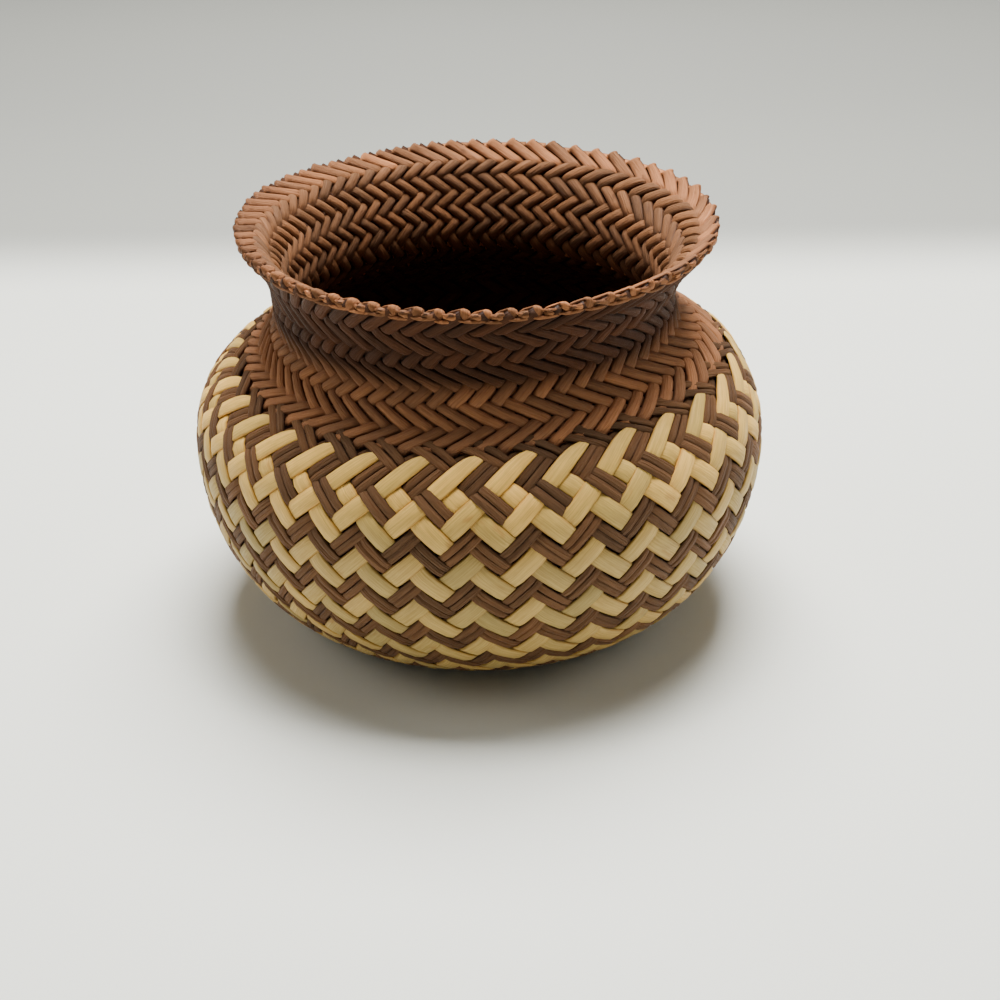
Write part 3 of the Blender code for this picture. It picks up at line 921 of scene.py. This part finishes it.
def strand_finish(
    name, colour, spread, fibre_width, stain, stain_share, roughness, relief, sheen,
    warm=0.04, fade=None, edge=ROD_EDGE_DIRT_AND_SHADE,
):
    """A strand's finish: its own tone, fibres along it, mottling, stains, and darker edges that are partly
    painted shade in the seams.

    A fade is the axis, the two places on it and the tints at them.
    """
    material, make, shader = new_material(name)
    tone = make.node("ShaderNodeAttribute", attribute_name="tone").outputs["Fac"]
    side = make.node("ShaderNodeAttribute", attribute_name="side").outputs["Fac"]
    inputs = {
        "Strand": make.node("ShaderNodeUVMap", uv_map="strand").outputs[0],
        "Tone": tone,
        "Fibre width": fibre_width,
        "Fibre length": fibre_width * FIBRES_PER_LENGTH,
    }
    fibre = make.node("ShaderNodeGroup", inputs, node_tree=BUILT["fibres"]).outputs
    tints = (1.0 + warm, 1.0, 1.0 - warm)
    dark = tuple(value * (1.0 - spread) / tint for value, tint in zip(colour, tints)) + (1.0,)
    light = tuple(min(value * (1.0 + spread) * tint, 1.0) for value, tint in zip(colour, tints)) + (1.0,)
    shown = make.mix(tone, dark, light)
    shown = make.tint(shown, make.times(fibre["Fibres"], FIBRE_SHARE), FIBRE_TINT)
    shown = make.tint(shown, make.times(fibre["Mottle"], MOTTLE_SHARE), MOTTLE_TINT)
    shown = make.mix(make.times(fibre["Stain"], stain_share), shown, (*stain, 1.0))
    # The edges are darkened: painted shade in the seams between strands, together with dirt on the rods and
    # an amber stain on the splints.
    edge_from, edge_to, edge_stain_and_shade_tint = edge
    shown = make.tint(shown, make.smooth(make.math("ABSOLUTE", side), edge_from, edge_to), edge_stain_and_shade_tint)
    # The fades by height are painted light and shade.
    if fade:
        axis, low, high, low_tint, high_tint = fade
        place = make.separate(make.node("ShaderNodeTexCoord").outputs["Object"])[axis]
        tint = make.mix(make.smooth(place, low, high), (*low_tint, 1.0), (*high_tint, 1.0))
        shown = make.mix(1.0, shown, tint, "MULTIPLY")
    rough = make.plus(make.times(fibre["Fibres"], FIBRE_ROUGHNESS), roughness)
    bump = make.node("ShaderNodeBump", {"Strength": 0.8, "Distance": relief, "Height": fibre["Fibres"]})
    for socket, value in (("Base Color", shown), ("Roughness", rough), ("Normal", bump.outputs[0])):
        make.tree.links.new(value, shader.inputs[socket])
    shader.inputs["Metallic"].default_value = 0.0
    shader.inputs["Specular IOR Level"].default_value = sheen
    return material


def under_shade_finish():
    """The strands that pass under, coloured near black as painted shade deep between the wall's faces,
    mottled a little.
    """
    material, make, shader = new_material("Strands under in painted shade")
    place = make.node("ShaderNodeTexCoord").outputs["Object"]
    shown = make.mix(make.noise(place, UNDER_CLOUD_SCALE)[0], UNDER_SHADE_DEEP, UNDER_SHADE_PALE)
    make.tree.links.new(shown, shader.inputs["Base Color"])
    shader.inputs["Roughness"].default_value = 0.8
    shader.inputs["Specular IOR Level"].default_value = 0.05
    return material


def table_finish(colour):
    """The pale table, slightly clouded, and shaded behind the basket and far off."""
    material, make, shader = new_material("Pale table")
    place = make.node("ShaderNodeTexCoord").outputs["Object"]
    darker, lighter = [(*[min(value * share, 1.0) for value in colour], 1.0) for share in TABLE_CLOUDS]
    clouded = make.mix(make.noise(place, TABLE_CLOUD_SCALE)[0], darker, lighter)
    sideways, away = make.separate(place)[:2]
    out = make.math("SQRT", make.plus(make.times(sideways, sideways), make.times(away, away)))
    behind = make.times(make.smooth(away, *NEAR_SHADE), make.smooth(away, *FAR_SHADE))
    shade = make.times(behind, make.smooth(out, *ROUND_SHADE))
    make.tree.links.new(make.mix(1.0, clouded, shade, "MULTIPLY"), shader.inputs["Base Color"])
    shader.inputs["Roughness"].default_value = 0.6
    return material


def make_finishes(settings):
    """The finishes of the strands, by the words that the operators use."""
    BUILT["fibres"] = fibre_group()
    # The cream splints are darker low on the belly and lighter up at the shoulder: painted light and shade
    # from the lamp above.
    BUILT["cream"] = strand_finish(
        "Cream splint", settings.cream, spread=0.17, fibre_width=0.0003, stain=OLD_STAIN, stain_share=0.6,
        roughness=0.5, relief=0.0001, sheen=0.3, warm=0.05, edge=SPLINT_EDGE_STAIN_AND_SHADE,
        fade=(UPWARD, 0.04, 0.066, (0.77, 0.80, 0.91), (1.31, 1.24, 1.08)),
    )
    BUILT["brown"] = strand_finish(
        "Brown rod", settings.brown, spread=0.26, fibre_width=0.00045, stain=DIRT, stain_share=0.3,
        roughness=0.6, relief=0.00045, sheen=0.18,
    )
    # The neck's rods are much lighter low down and darker up under the lip: painted light on the low neck
    # and the lip's painted shadow above.
    BUILT["neck"] = strand_finish(
        "Neck rod", settings.neck_brown, spread=0.24, fibre_width=0.00035, stain=DIRT, stain_share=0.3,
        roughness=0.6, relief=0.0003, sheen=0.2,
        fade=(UPWARD, 0.0765, 0.0835, (2.8, 3.15, 4.1), (0.48, 0.42, 0.38)),
    )
    BUILT["rim"] = strand_finish(
        "Rim rod", settings.rim_tan, spread=0.3, fibre_width=0.00035, stain=DIRT, stain_share=0.6,
        roughness=0.6, relief=0.00025, sheen=0.16, edge=RIM_EDGE_DIRT_AND_SHADE,
        fade=(SIDEWAYS, -0.058, -0.03, (0.6, 0.62, 0.68), (1.0, 1.0, 1.0)),
    )
    paler = [min(value * 1.3, 1.0) for value in settings.rim_tan]
    BUILT["tab"] = strand_finish(
        "Rim tab", paler, spread=0.35, fibre_width=0.0003, stain=DIRT, stain_share=0.4,
        roughness=0.6, relief=0.0002, sheen=0.16,
    )
    # The inner rods darken downwards into the basket: painted shade of its depth.
    BUILT["inside"] = strand_finish(
        "Inner rod", settings.inner_brown, spread=0.25, fibre_width=0.00035, stain=DIRT, stain_share=0.4,
        roughness=0.6, relief=0.00025, sheen=0.18,
        fade=(UPWARD, 0.070, 0.092, (0.3, 0.25, 0.2), (0.76, 0.77, 0.8)),
    )
    BUILT["under"] = under_shade_finish()


# The floats of each piece


def is_cream(strand, family):
    """Even strands one way and odd strands the other are cream splints."""
    return (strand % 2 == 0) == (family > 0)


def half_of(strand, family):
    return CREAM_HALF if is_cream(strand, family) else BROWN_HALF


def body_floats():
    """Every float below the shoulder, as (level of its middle, family, strand, start, end)."""
    found = []
    for family, phase, highest in ((1, 0, 0.5), (-1, 2, 1.5)):
        for strand in range(STRANDS_EACH_WAY):
            for crossing in range(strand - BODY_REACH, strand + BODY_REACH):
                level = family * (crossing + 0.5 - strand)
                starts_here = (strand + crossing) % 4 == phase
                if not starts_here or not LOWEST_LEVEL + FIRST_FLOAT_ABOVE <= level <= highest:
                    continue
                start = crossing - half_of(crossing, -family)
                end = crossing + 1 + half_of(crossing + 1, -family)
                found.append((level, family, strand, start, end))
    return found


def add_strand(runs, family, strand, start, end, lift=0.0, fuller=0.0):
    """A float of the body: one flat cream splint or a pair of brown rods."""
    settings = bpy.context.scene.basket
    start, end = start - TUCK, end + TUCK
    if is_cream(strand, family):
        runs.add(family, strand, start, end, CREAM_HALF - SPLINT_SLACK, settings.splint_thickness, lift)
        return
    tone = float(runs.random.random())
    half = PAIR_ROD_HALF + fuller
    for side in (-1.0, 1.0):
        own = tone * PAIR_TONE_SHARED + PAIR_TONE_OWN * float(runs.random.random())
        across = strand + side * (ROD_OFFSET + fuller)
        runs.add(family, across, start, end, half, settings.rod_thickness, lift, tone=own)


def add_course_rod(runs, family, rod, low, high, thick, lift=0.0, over=TUCK, top_dip=1.0):
    """A rod of a course between two levels, tucked in below and reaching on by over on top."""
    if family > 0:
        start, end, dips = rod + low - TUCK, rod + high + over, (1.0, top_dip)
    else:
        start, end, dips = rod - high - over, rod - low + TUCK, (top_dip, 1.0)
    runs.add(family, rod, start, end, ROD_HALF, thick, lift, dips=dips, skew=ROD_SKEW)


def add_fold(folds, rod, angle, top, vary):
    """A rod that comes up the inner face, turns over the crest and ends outside."""
    flatter = left_back(angle)
    lean = LEAN_MORE * flatter
    start = rod + (INNER_TOPS[0] - TUCK - FOLD_STARTS_BELOW - TOP_COURSE_LOWER * flatter)
    _, longer, wider, drift, skew = vary * FOLD_VARIES
    folds.add(
        1, (rod, rod + lean), start, rod + lean + top + FOLD_OVER + longer,
        (FOLD_HALVES[0], FOLD_HALVES[1] + wider), FOLD_THICKNESS, dips=FOLD_DIPS,
        fold_at=rod + top + LEAN_AT_FOLD * lean, drift=FOLD_DRIFT + drift,
        skew=FOLD_SKEW - FOLD_SKEW_LESS_IN_FRONT * max(math.cos(angle), 0.0) + skew,
    )


def add_trimmed_end(ends, rod, top, vary):
    """The short trimmed end of a rod, which stands outside between two folds."""
    across = rod + END_ASIDE[0] + END_ASIDE[1] * vary[2]
    length = END_LENGTH[0] + END_LENGTH[1] * vary[1]
    start = across + top + END_ABOVE_CREST[0] + END_ABOVE_CREST[1] * vary[4]
    half = END_HALF[0] + END_HALF[1] * vary[3]
    ends.add(
        1, (across, across + length), start, start + length, half, END_THICKNESS, END_LIFT,
        dips=END_DIPS, skew=1.0,
    )


def add_edging(strips, rod, angle, top):
    """The thin strip that winds along under the folds and, in front, the finer one at the crest."""
    reach, rise = strips.random.uniform(STRIP_LEAST, STRIP_MOST)
    start, across = rod + top - STRIP_BELOW_CREST, rod + STRIP_ASIDE
    strips.add(
        1, (across, across + reach - rise / 2), start, start + reach + rise / 2, STRIP_HALF,
        STRIP_THICKNESS, STRIP_LIFT, dips=STRIP_DIPS, skew=1.0,
    )
    if math.cos(angle) > FINE_STRIP_FROM_COSINE:
        line = top - FINE_STRIP_BELOW_CREST
        before, after = FINE_STRIP_ASIDE
        strips.add(
            1, (rod + before, rod + after), rod + before + line, rod + line + FINE_STRIP_CLIMB,
            FINE_STRIP_HALF, FINE_STRIP_THICKNESS, FINE_STRIP_LIFT, dips=FINE_STRIP_DIPS, skew=1.0,
        )


def lay_zigzags(colour, count, seed, first_level, shape):
    """The zigzag courses of one colour, from the uppermost down."""
    for number in range(1, count + 1):
        runs = Runs(seed + number)
        for level, family, strand, start, end in body_floats():
            own_colour = is_cream(strand, family) == (colour == "cream")
            if own_colour and round((level - first_level) / ZIGZAG_STEP) == 1 - number:
                add_strand(runs, family, strand, start, end)
        lay(f"{colour}_zigzag_{number}", runs, "outer", shape, colour, f"{colour}_course_{number}")


class PieceOperator(bpy.types.Operator):
    """Base of the operators that make pieces."""

    bl_options = {"REGISTER"}


class BASKET_OT_cream_courses(PieceOperator):
    """Lay the six cream zigzag courses of the body"""

    bl_idname = "basket.cream_courses"
    bl_label = "Cream courses"

    def execute(self, context):
        lay_zigzags("cream", 6, CREAM_SEED, CREAM_LEVEL, "splint")
        return {"FINISHED"}


class BASKET_OT_brown_courses(PieceOperator):
    """Lay the five brown zigzag courses of the body"""

    bl_idname = "basket.brown_courses"
    bl_label = "Brown courses"

    def execute(self, context):
        lay_zigzags("brown", 5, BROWN_SEED, BROWN_LEVEL, "flat_rod")
        return {"FINISHED"}


class BASKET_OT_shoulder(PieceOperator):
    """Lay the wide cream floats of the shoulder and the brown pairs between them"""

    bl_idname = "basket.shoulder"
    bl_label = "Shoulder"

    def execute(self, context):
        thick = context.scene.basket.splint_thickness
        cream, brown, leaves = [Runs(seed) for seed in SHOULDER_SEEDS]
        for strand in range(STRANDS_EACH_WAY):
            if strand % 2 == 0:
                top = LEAF_TOP + float(cream.random.uniform(*LEAF_TOP_STRAY))
                across = tuple(strand + lean for lean in LEAF_LEAN)
                foot = strand + LEAF_FOOT - TUCK
                leaves.add(1, across, foot, strand + top, LEAF_HALF, thick, LEAF_LIFT, dips=LEAF_DIPS)
                low, high = LOW_PAIR_LEVELS
                add_strand(brown, -1, strand, strand - high, strand - low, LOW_PAIR_LIFT, LOW_PAIR_FULLER)
            else:
                low, high = HIGH_PAIR_LEVELS
                add_strand(brown, 1, strand, strand + low, strand + high, fuller=HIGH_PAIR_FULLER)
                low, high = SPLINT_LEVELS
                half = CREAM_HALF - SPLINT_SLACK
                cream.add(-1, strand, strand - high - TUCK, strand - low + TUCK, half, thick)
        lay("shoulder_splints", cream, "outer", "splint", "cream", None)
        lay("shoulder_leaves", leaves, "outer", "leaf", "cream", "shoulder_floats")
        lay("shoulder_pairs", brown, "outer", "flat_rod", "brown", None)
        return {"FINISHED"}


class BASKET_OT_neck(PieceOperator):
    """Lay the eight courses of rods up the neck, with the rods that cross under each"""

    bl_idname = "basket.neck"
    bl_label = "Neck courses"

    def execute(self, context):
        settings = context.scene.basket
        thick = settings.neck_rod_thickness
        low = NECK_FOOT
        for number, top in enumerate(NECK_TOPS, start=1):
            runs = Runs(NECK_SEED + number)
            first, last = number == 1, number == len(NECK_TOPS)
            family = -1 if number % 2 == 1 else 1
            high = FIRST_COURSE_TOP if first else top
            top_dip, under_dip = LAST_DIPS if last else (1.0, 1.0)
            for strand in range(STRANDS_EACH_WAY):
                rod = strand + 0.5
                if first:
                    pair = strand - strand % 2
                    side = 1.0 if strand % 2 else -1.0
                    across = (pair + side * FIRST_SPREAD, pair + side * ROD_OFFSET)
                    runs.add(
                        -1, across, pair - high - FIRST_COURSE_OVER, pair - low + TUCK, FIRST_HALVES,
                        settings.rod_thickness * FIRST_THICKER, dips=FIRST_DIPS,
                    )
                    add_course_rod(runs, 1, rod, low, high, thick, UNDER_LIFT, over=FIRST_UNDER_OVER)
                    continue
                over = TUCK
                if last:
                    angle, _ = hand_lay(2.0 * rod + top, NECK_TOP_LEVEL)
                    over = crest_level(angle) - top - ROD_BELOW_CREST
                add_course_rod(runs, family, rod, low, high, thick, over=over, top_dip=top_dip)
                add_course_rod(runs, -family, rod, low, high, thick, UNDER_LIFT, top_dip=under_dip)
            lay(
                f"neck_rods_{number}", runs, "outer", "rod", "brown" if first else "neck",
                f"neck_course_{number}", dip_reach=ROD_DIP_REACH,
            )
            low = high
        return {"FINISHED"}


class BASKET_OT_inner_wall(PieceOperator):
    """Lay the rods of the inner basket, from the rim down to the floor"""

    bl_idname = "basket.inner_wall"
    bl_label = "Inner wall"

    def execute(self, context):
        thick = context.scene.basket.neck_rod_thickness
        tops = list(INNER_TOPS)
        while tops[-1] > LOWEST_LEVEL + INNER_FLOOR_GAP:
            tops.append(tops[-1] - INNER_STEP)
        for node, seed, low_limit, high_limit in INNER_BANDS:
            runs = Runs(seed)
            for row, (high, low) in enumerate(zip(tops, tops[1:])):
                if not low_limit <= (high + low) / 2.0 < high_limit:
                    continue
                family = -1 if row % 2 == 0 else 1
                for strand in range(STRANDS_EACH_WAY):
                    rod = strand + 0.5
                    top = high
                    if row == 0:
                        angle, _ = hand_lay(2.0 * rod - high, NECK_TOP_LEVEL)
                        top = high - TOP_COURSE_LOWER * left_back(angle)
                    add_course_rod(runs, family, rod, low, top, thick)
            lay(f"{node}_rods", runs, "inner", "rod", "inside", node, dip_reach=ROD_DIP_REACH)
        return {"FINISHED"}


class BASKET_OT_base_mats(PieceOperator):
    """Lay the plaited mats of the outer and the inner base"""

    bl_idname = "basket.base_mats"
    bl_label = "Base mats"

    def execute(self, context):
        thick = context.scene.basket.splint_thickness
        mats = (
            ("outer_mat", "outer_base", "outer_floor", MAT_REACH, "brown_rod", "brown", OUTER_MAT_LIFT),
            ("inner_mat", "inner_base", "inner_floor", INNER_MAT_REACH, "inner_rod", "inside", 0.0),
        )
        for name, node, guide, reach, slot, finish, lift in mats:
            runs = Runs(MAT_SEED)
            limit = reach / MAT_PITCH
            for family, phase in ((1, 0), (-1, 2)):
                for strand in range(-MAT_STRANDS, MAT_STRANDS + 1):
                    half_chord = math.sqrt(max(limit**2 - strand**2, 0.0))
                    for crossing in range(-MAT_STRANDS - 2, MAT_STRANDS + 3):
                        starts_here = (strand + crossing) % 4 == phase
                        if not starts_here or crossing - 0.5 < -half_chord or crossing + 1.5 > half_chord:
                            continue
                        start = MAT_MIDDLE + crossing - 0.5 - TUCK
                        end = start + 2.0 + 2.0 * TUCK
                        runs.add_to_mat(family, MAT_MIDDLE + strand, start, end, thick, lift)
            lay(name, runs, guide, "splint", finish, node)
        return {"FINISHED"}


class BASKET_OT_under_layer(PieceOperator):
    """Make the layer of strands that pass under, between the two faces of the wall"""

    bl_idname = "basket.under_layer"
    bl_label = "Under layer"

    def execute(self, context):
        around = 2 * STRANDS_EACH_WAY
        angles = 2.0 * math.pi * np.arange(around) / around
        tops = LEVELS.distance_at(crest_level(angles) - UNDER_BELOW_CREST)
        outer_loops = []
        inner_loops = []
        for share in (0.0, *np.linspace(UNDER_FIRST_SHARE, 1.0, UNDER_RINGS)):
            distance = tops * share
            level = np.interp(distance, LEVELS.distance, LEVELS.level)
            inner_deep = edge_depth(level, INNER_FACE) - (INNER_FACE - INNER_UNDER)
            outer_deep = np.minimum(OUTER_UNDER, inner_deep - UNDER_THINNEST)
            outer_loops.append(formed(angles, distance, outer_deep)[0])
            inner_loops.append(formed(angles, distance, inner_deep)[0])
        loops = outer_loops + inner_loops[::-1]
        mesh = closed_rings("strands_under", np.concatenate(loops).tolist(), len(loops), around)
        # Its near-black finish is painted shade between the wall's faces.
        mesh.materials.append(BUILT["under"])
        mesh.shade_smooth()
        piece = link("strands_under", mesh)
        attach(piece, "root")
        return {"FINISHED"}


class BASKET_OT_rim(PieceOperator):
    """Fold the rods over the rim as a ring of knuckles"""

    bl_idname = "basket.rim"
    bl_label = "Rim"

    def execute(self, context):
        folds, ends, strips = [Runs(seed) for seed in RIM_SEEDS]
        for strand in range(STRANDS_EACH_WAY):
            rod = strand + 0.5
            vary = folds.random.uniform(-1.0, 1.0, 5)
            angle, _ = hand_lay(2.0 * rod + CREST_LEVEL, NECK_TOP_LEVEL)
            top = crest_level(angle) + FOLD_VARIES[0] * vary[0]
            add_fold(folds, rod, angle, top, vary)
            if angle > END_FROM_ANGLE:
                add_trimmed_end(ends, rod, top, vary)
            add_edging(strips, rod, angle, top)
        lay(
            "rim_knuckles", folds, "inner", "fold_rod", "rim", "rim_fold",
            dip_reach=ROD_DIP_REACH, beyond="outer",
        )
        lay("rim_tabs", ends, "outer", "rod", "tab", None, dip_reach=END_DIP_REACH)
        lay("rim_edging", strips, "outer", "rod", "rim", None, dip_reach=STRIP_DIP_REACH)
        return {"FINISHED"}


def add_table(colour):
    """A disc that bends up into a wall, so that no edge shows from any side."""
    profile = [(radius, 0.0) for radius in TABLE_RINGS]
    for step in range(1, BEND_STEPS + 1):
        turn = math.pi / 2 * step / BEND_STEPS
        reach = TABLE_RINGS[-1] + TABLE_BEND * math.sin(turn)
        profile.append((reach, TABLE_BEND - TABLE_BEND * math.cos(turn)))
    profile.append((TABLE_RINGS[-1] + TABLE_BEND, TABLE_TOP))
    points = []
    for radius, level in profile:
        for index in range(TABLE_SIDES):
            angle = 2.0 * math.pi * index / TABLE_SIDES
            points.append((radius * math.sin(angle), -radius * math.cos(angle), level))
    middle = len(points)
    points.append((0.0, 0.0, 0.0))
    faces = [face[::-1] for face in ring_faces(len(profile), TABLE_SIDES)]
    faces += [(middle, index, (index + 1) % TABLE_SIDES) for index in range(TABLE_SIDES)]
    mesh = bpy.data.meshes.new("table")
    mesh.from_pydata(points, [], faces)
    mesh.materials.append(table_finish(colour))
    mesh.shade_smooth()
    floor = link("table", mesh)


def add_lights(scene):
    world = bpy.data.worlds.new("Room light")
    world.use_nodes = True
    world.node_tree.nodes["Background"].inputs[0].default_value = ROOM_COLOUR
    world.node_tree.nodes["Background"].inputs[1].default_value = ROOM_STRENGTH
    scene.world = world
    for name, place, power, tint in LIGHTS:
        lamp = bpy.data.lights.new(name, "AREA")
        lamp.shape = "SQUARE"
        lamp.size = LIGHT_SIZE
        lamp.energy = power
        lamp.color = tint
        item = link(name, lamp)
        item.location = place
        item.rotation_euler = (LIGHT_AIM - Vector(place)).to_track_quat("-Z", "Y").to_euler()


def add_camera(scene):
    """The photograph's view: a little above the basket and very slightly rolled."""
    forward = Vector((0.0, math.cos(CAMERA_TILT), -math.sin(CAMERA_TILT)))
    above = Vector((0.0, math.sin(CAMERA_TILT), math.cos(CAMERA_TILT)))
    right = Vector((1.0, 0.0, 0.0))
    turned_right = right * math.cos(CAMERA_ROLL) + above * math.sin(CAMERA_ROLL)
    turned_up = above * math.cos(CAMERA_ROLL) - right * math.sin(CAMERA_ROLL)
    lens = bpy.data.cameras.new("Camera")
    lens.sensor_width = CAMERA_SENSOR
    lens.lens = CAMERA_LENS
    lens.clip_start = CAMERA_CLIP
    camera = link("Camera", lens)
    basis = Matrix((turned_right, turned_up, -forward)).transposed().to_4x4()
    camera.matrix_world = Matrix.Translation(CAMERA_AIM - forward * CAMERA_DISTANCE) @ basis
    scene.camera = camera


class BASKET_OT_stage(PieceOperator):
    """Set the pale table with its far-off rise, the soft lights and the camera"""

    bl_idname = "basket.stage"
    bl_label = "Stage"

    def execute(self, context):
        add_table(tuple(context.scene.basket.floor_colour))
        add_lights(context.scene)
        add_camera(context.scene)
        return {"FINISHED"}


class BASKET_PT_panel(bpy.types.Panel):
    """Lists the sizes, the colours and the steps of the basket"""

    bl_idname = "BASKET_PT_panel"
    bl_label = "Double weave basket"
    bl_space_type = "VIEW_3D"
    bl_region_type = "UI"
    bl_category = "Basket"

    def draw(self, context):
        settings = context.scene.basket
        for name in BasketSettings.__annotations__:
            self.layout.prop(settings, name)
        for step in STEPS:
            self.layout.operator(step.bl_idname)


STEPS = (
    BASKET_OT_cream_courses,
    BASKET_OT_brown_courses,
    BASKET_OT_shoulder,
    BASKET_OT_neck,
    BASKET_OT_inner_wall,
    BASKET_OT_base_mats,
    BASKET_OT_under_layer,
    BASKET_OT_rim,
    BASKET_OT_stage,
)
CLASSES = (BasketSettings, *STEPS, BASKET_PT_panel)


def register():
    for item in CLASSES:
        bpy.utils.register_class(item)
    bpy.types.Scene.basket = PointerProperty(type=BasketSettings)


def unregister():
    del bpy.types.Scene.basket
    for item in reversed(CLASSES):
        bpy.utils.unregister_class(item)


def make_guides():
    """The guide walls and the float shapes, which leave the scene when the pieces are laid."""
    guides = {
        "outer": guide_wall("guide_outer", 0.0, 1.0),
        "inner": guide_wall("guide_inner", INNER_FACE, -1.0, inner_point),
        "outer_floor": guide_wall("guide_outer_floor", 0.0, 1.0, base_point),
        "inner_floor": guide_wall("guide_inner_floor", INNER_FACE, -1.0, base_point),
        "splint": float_shape("splint_float", SPLINT_SECTION),
        "leaf": leaf_shape("leaf_float", SPLINT_SECTION),
        "flat_rod": float_shape("flat_rod_float", FLAT_ROD_SECTION),
        "rod": float_shape("rod_float", ROD_SECTION),
        "fold_rod": float_shape("fold_rod_float", ROD_SECTION, FOLD_STATIONS),
    }
    BUILT.update(guides)
    return guides


def clear_guides(guides):
    for key, item in guides.items():
        del BUILT[key]
        mesh = item.data
        bpy.data.objects.remove(item)
        bpy.data.meshes.remove(mesh)


def main():
    register()
    guides = make_guides()
    BUILT["tree"] = weave_tree()
    make_finishes(bpy.context.scene.basket)
    for step in STEPS:
        group, title = step.bl_idname.split(".")
        getattr(getattr(bpy.ops, group), title)()
    clear_guides(guides)


if __name__ == "__main__":
    main()
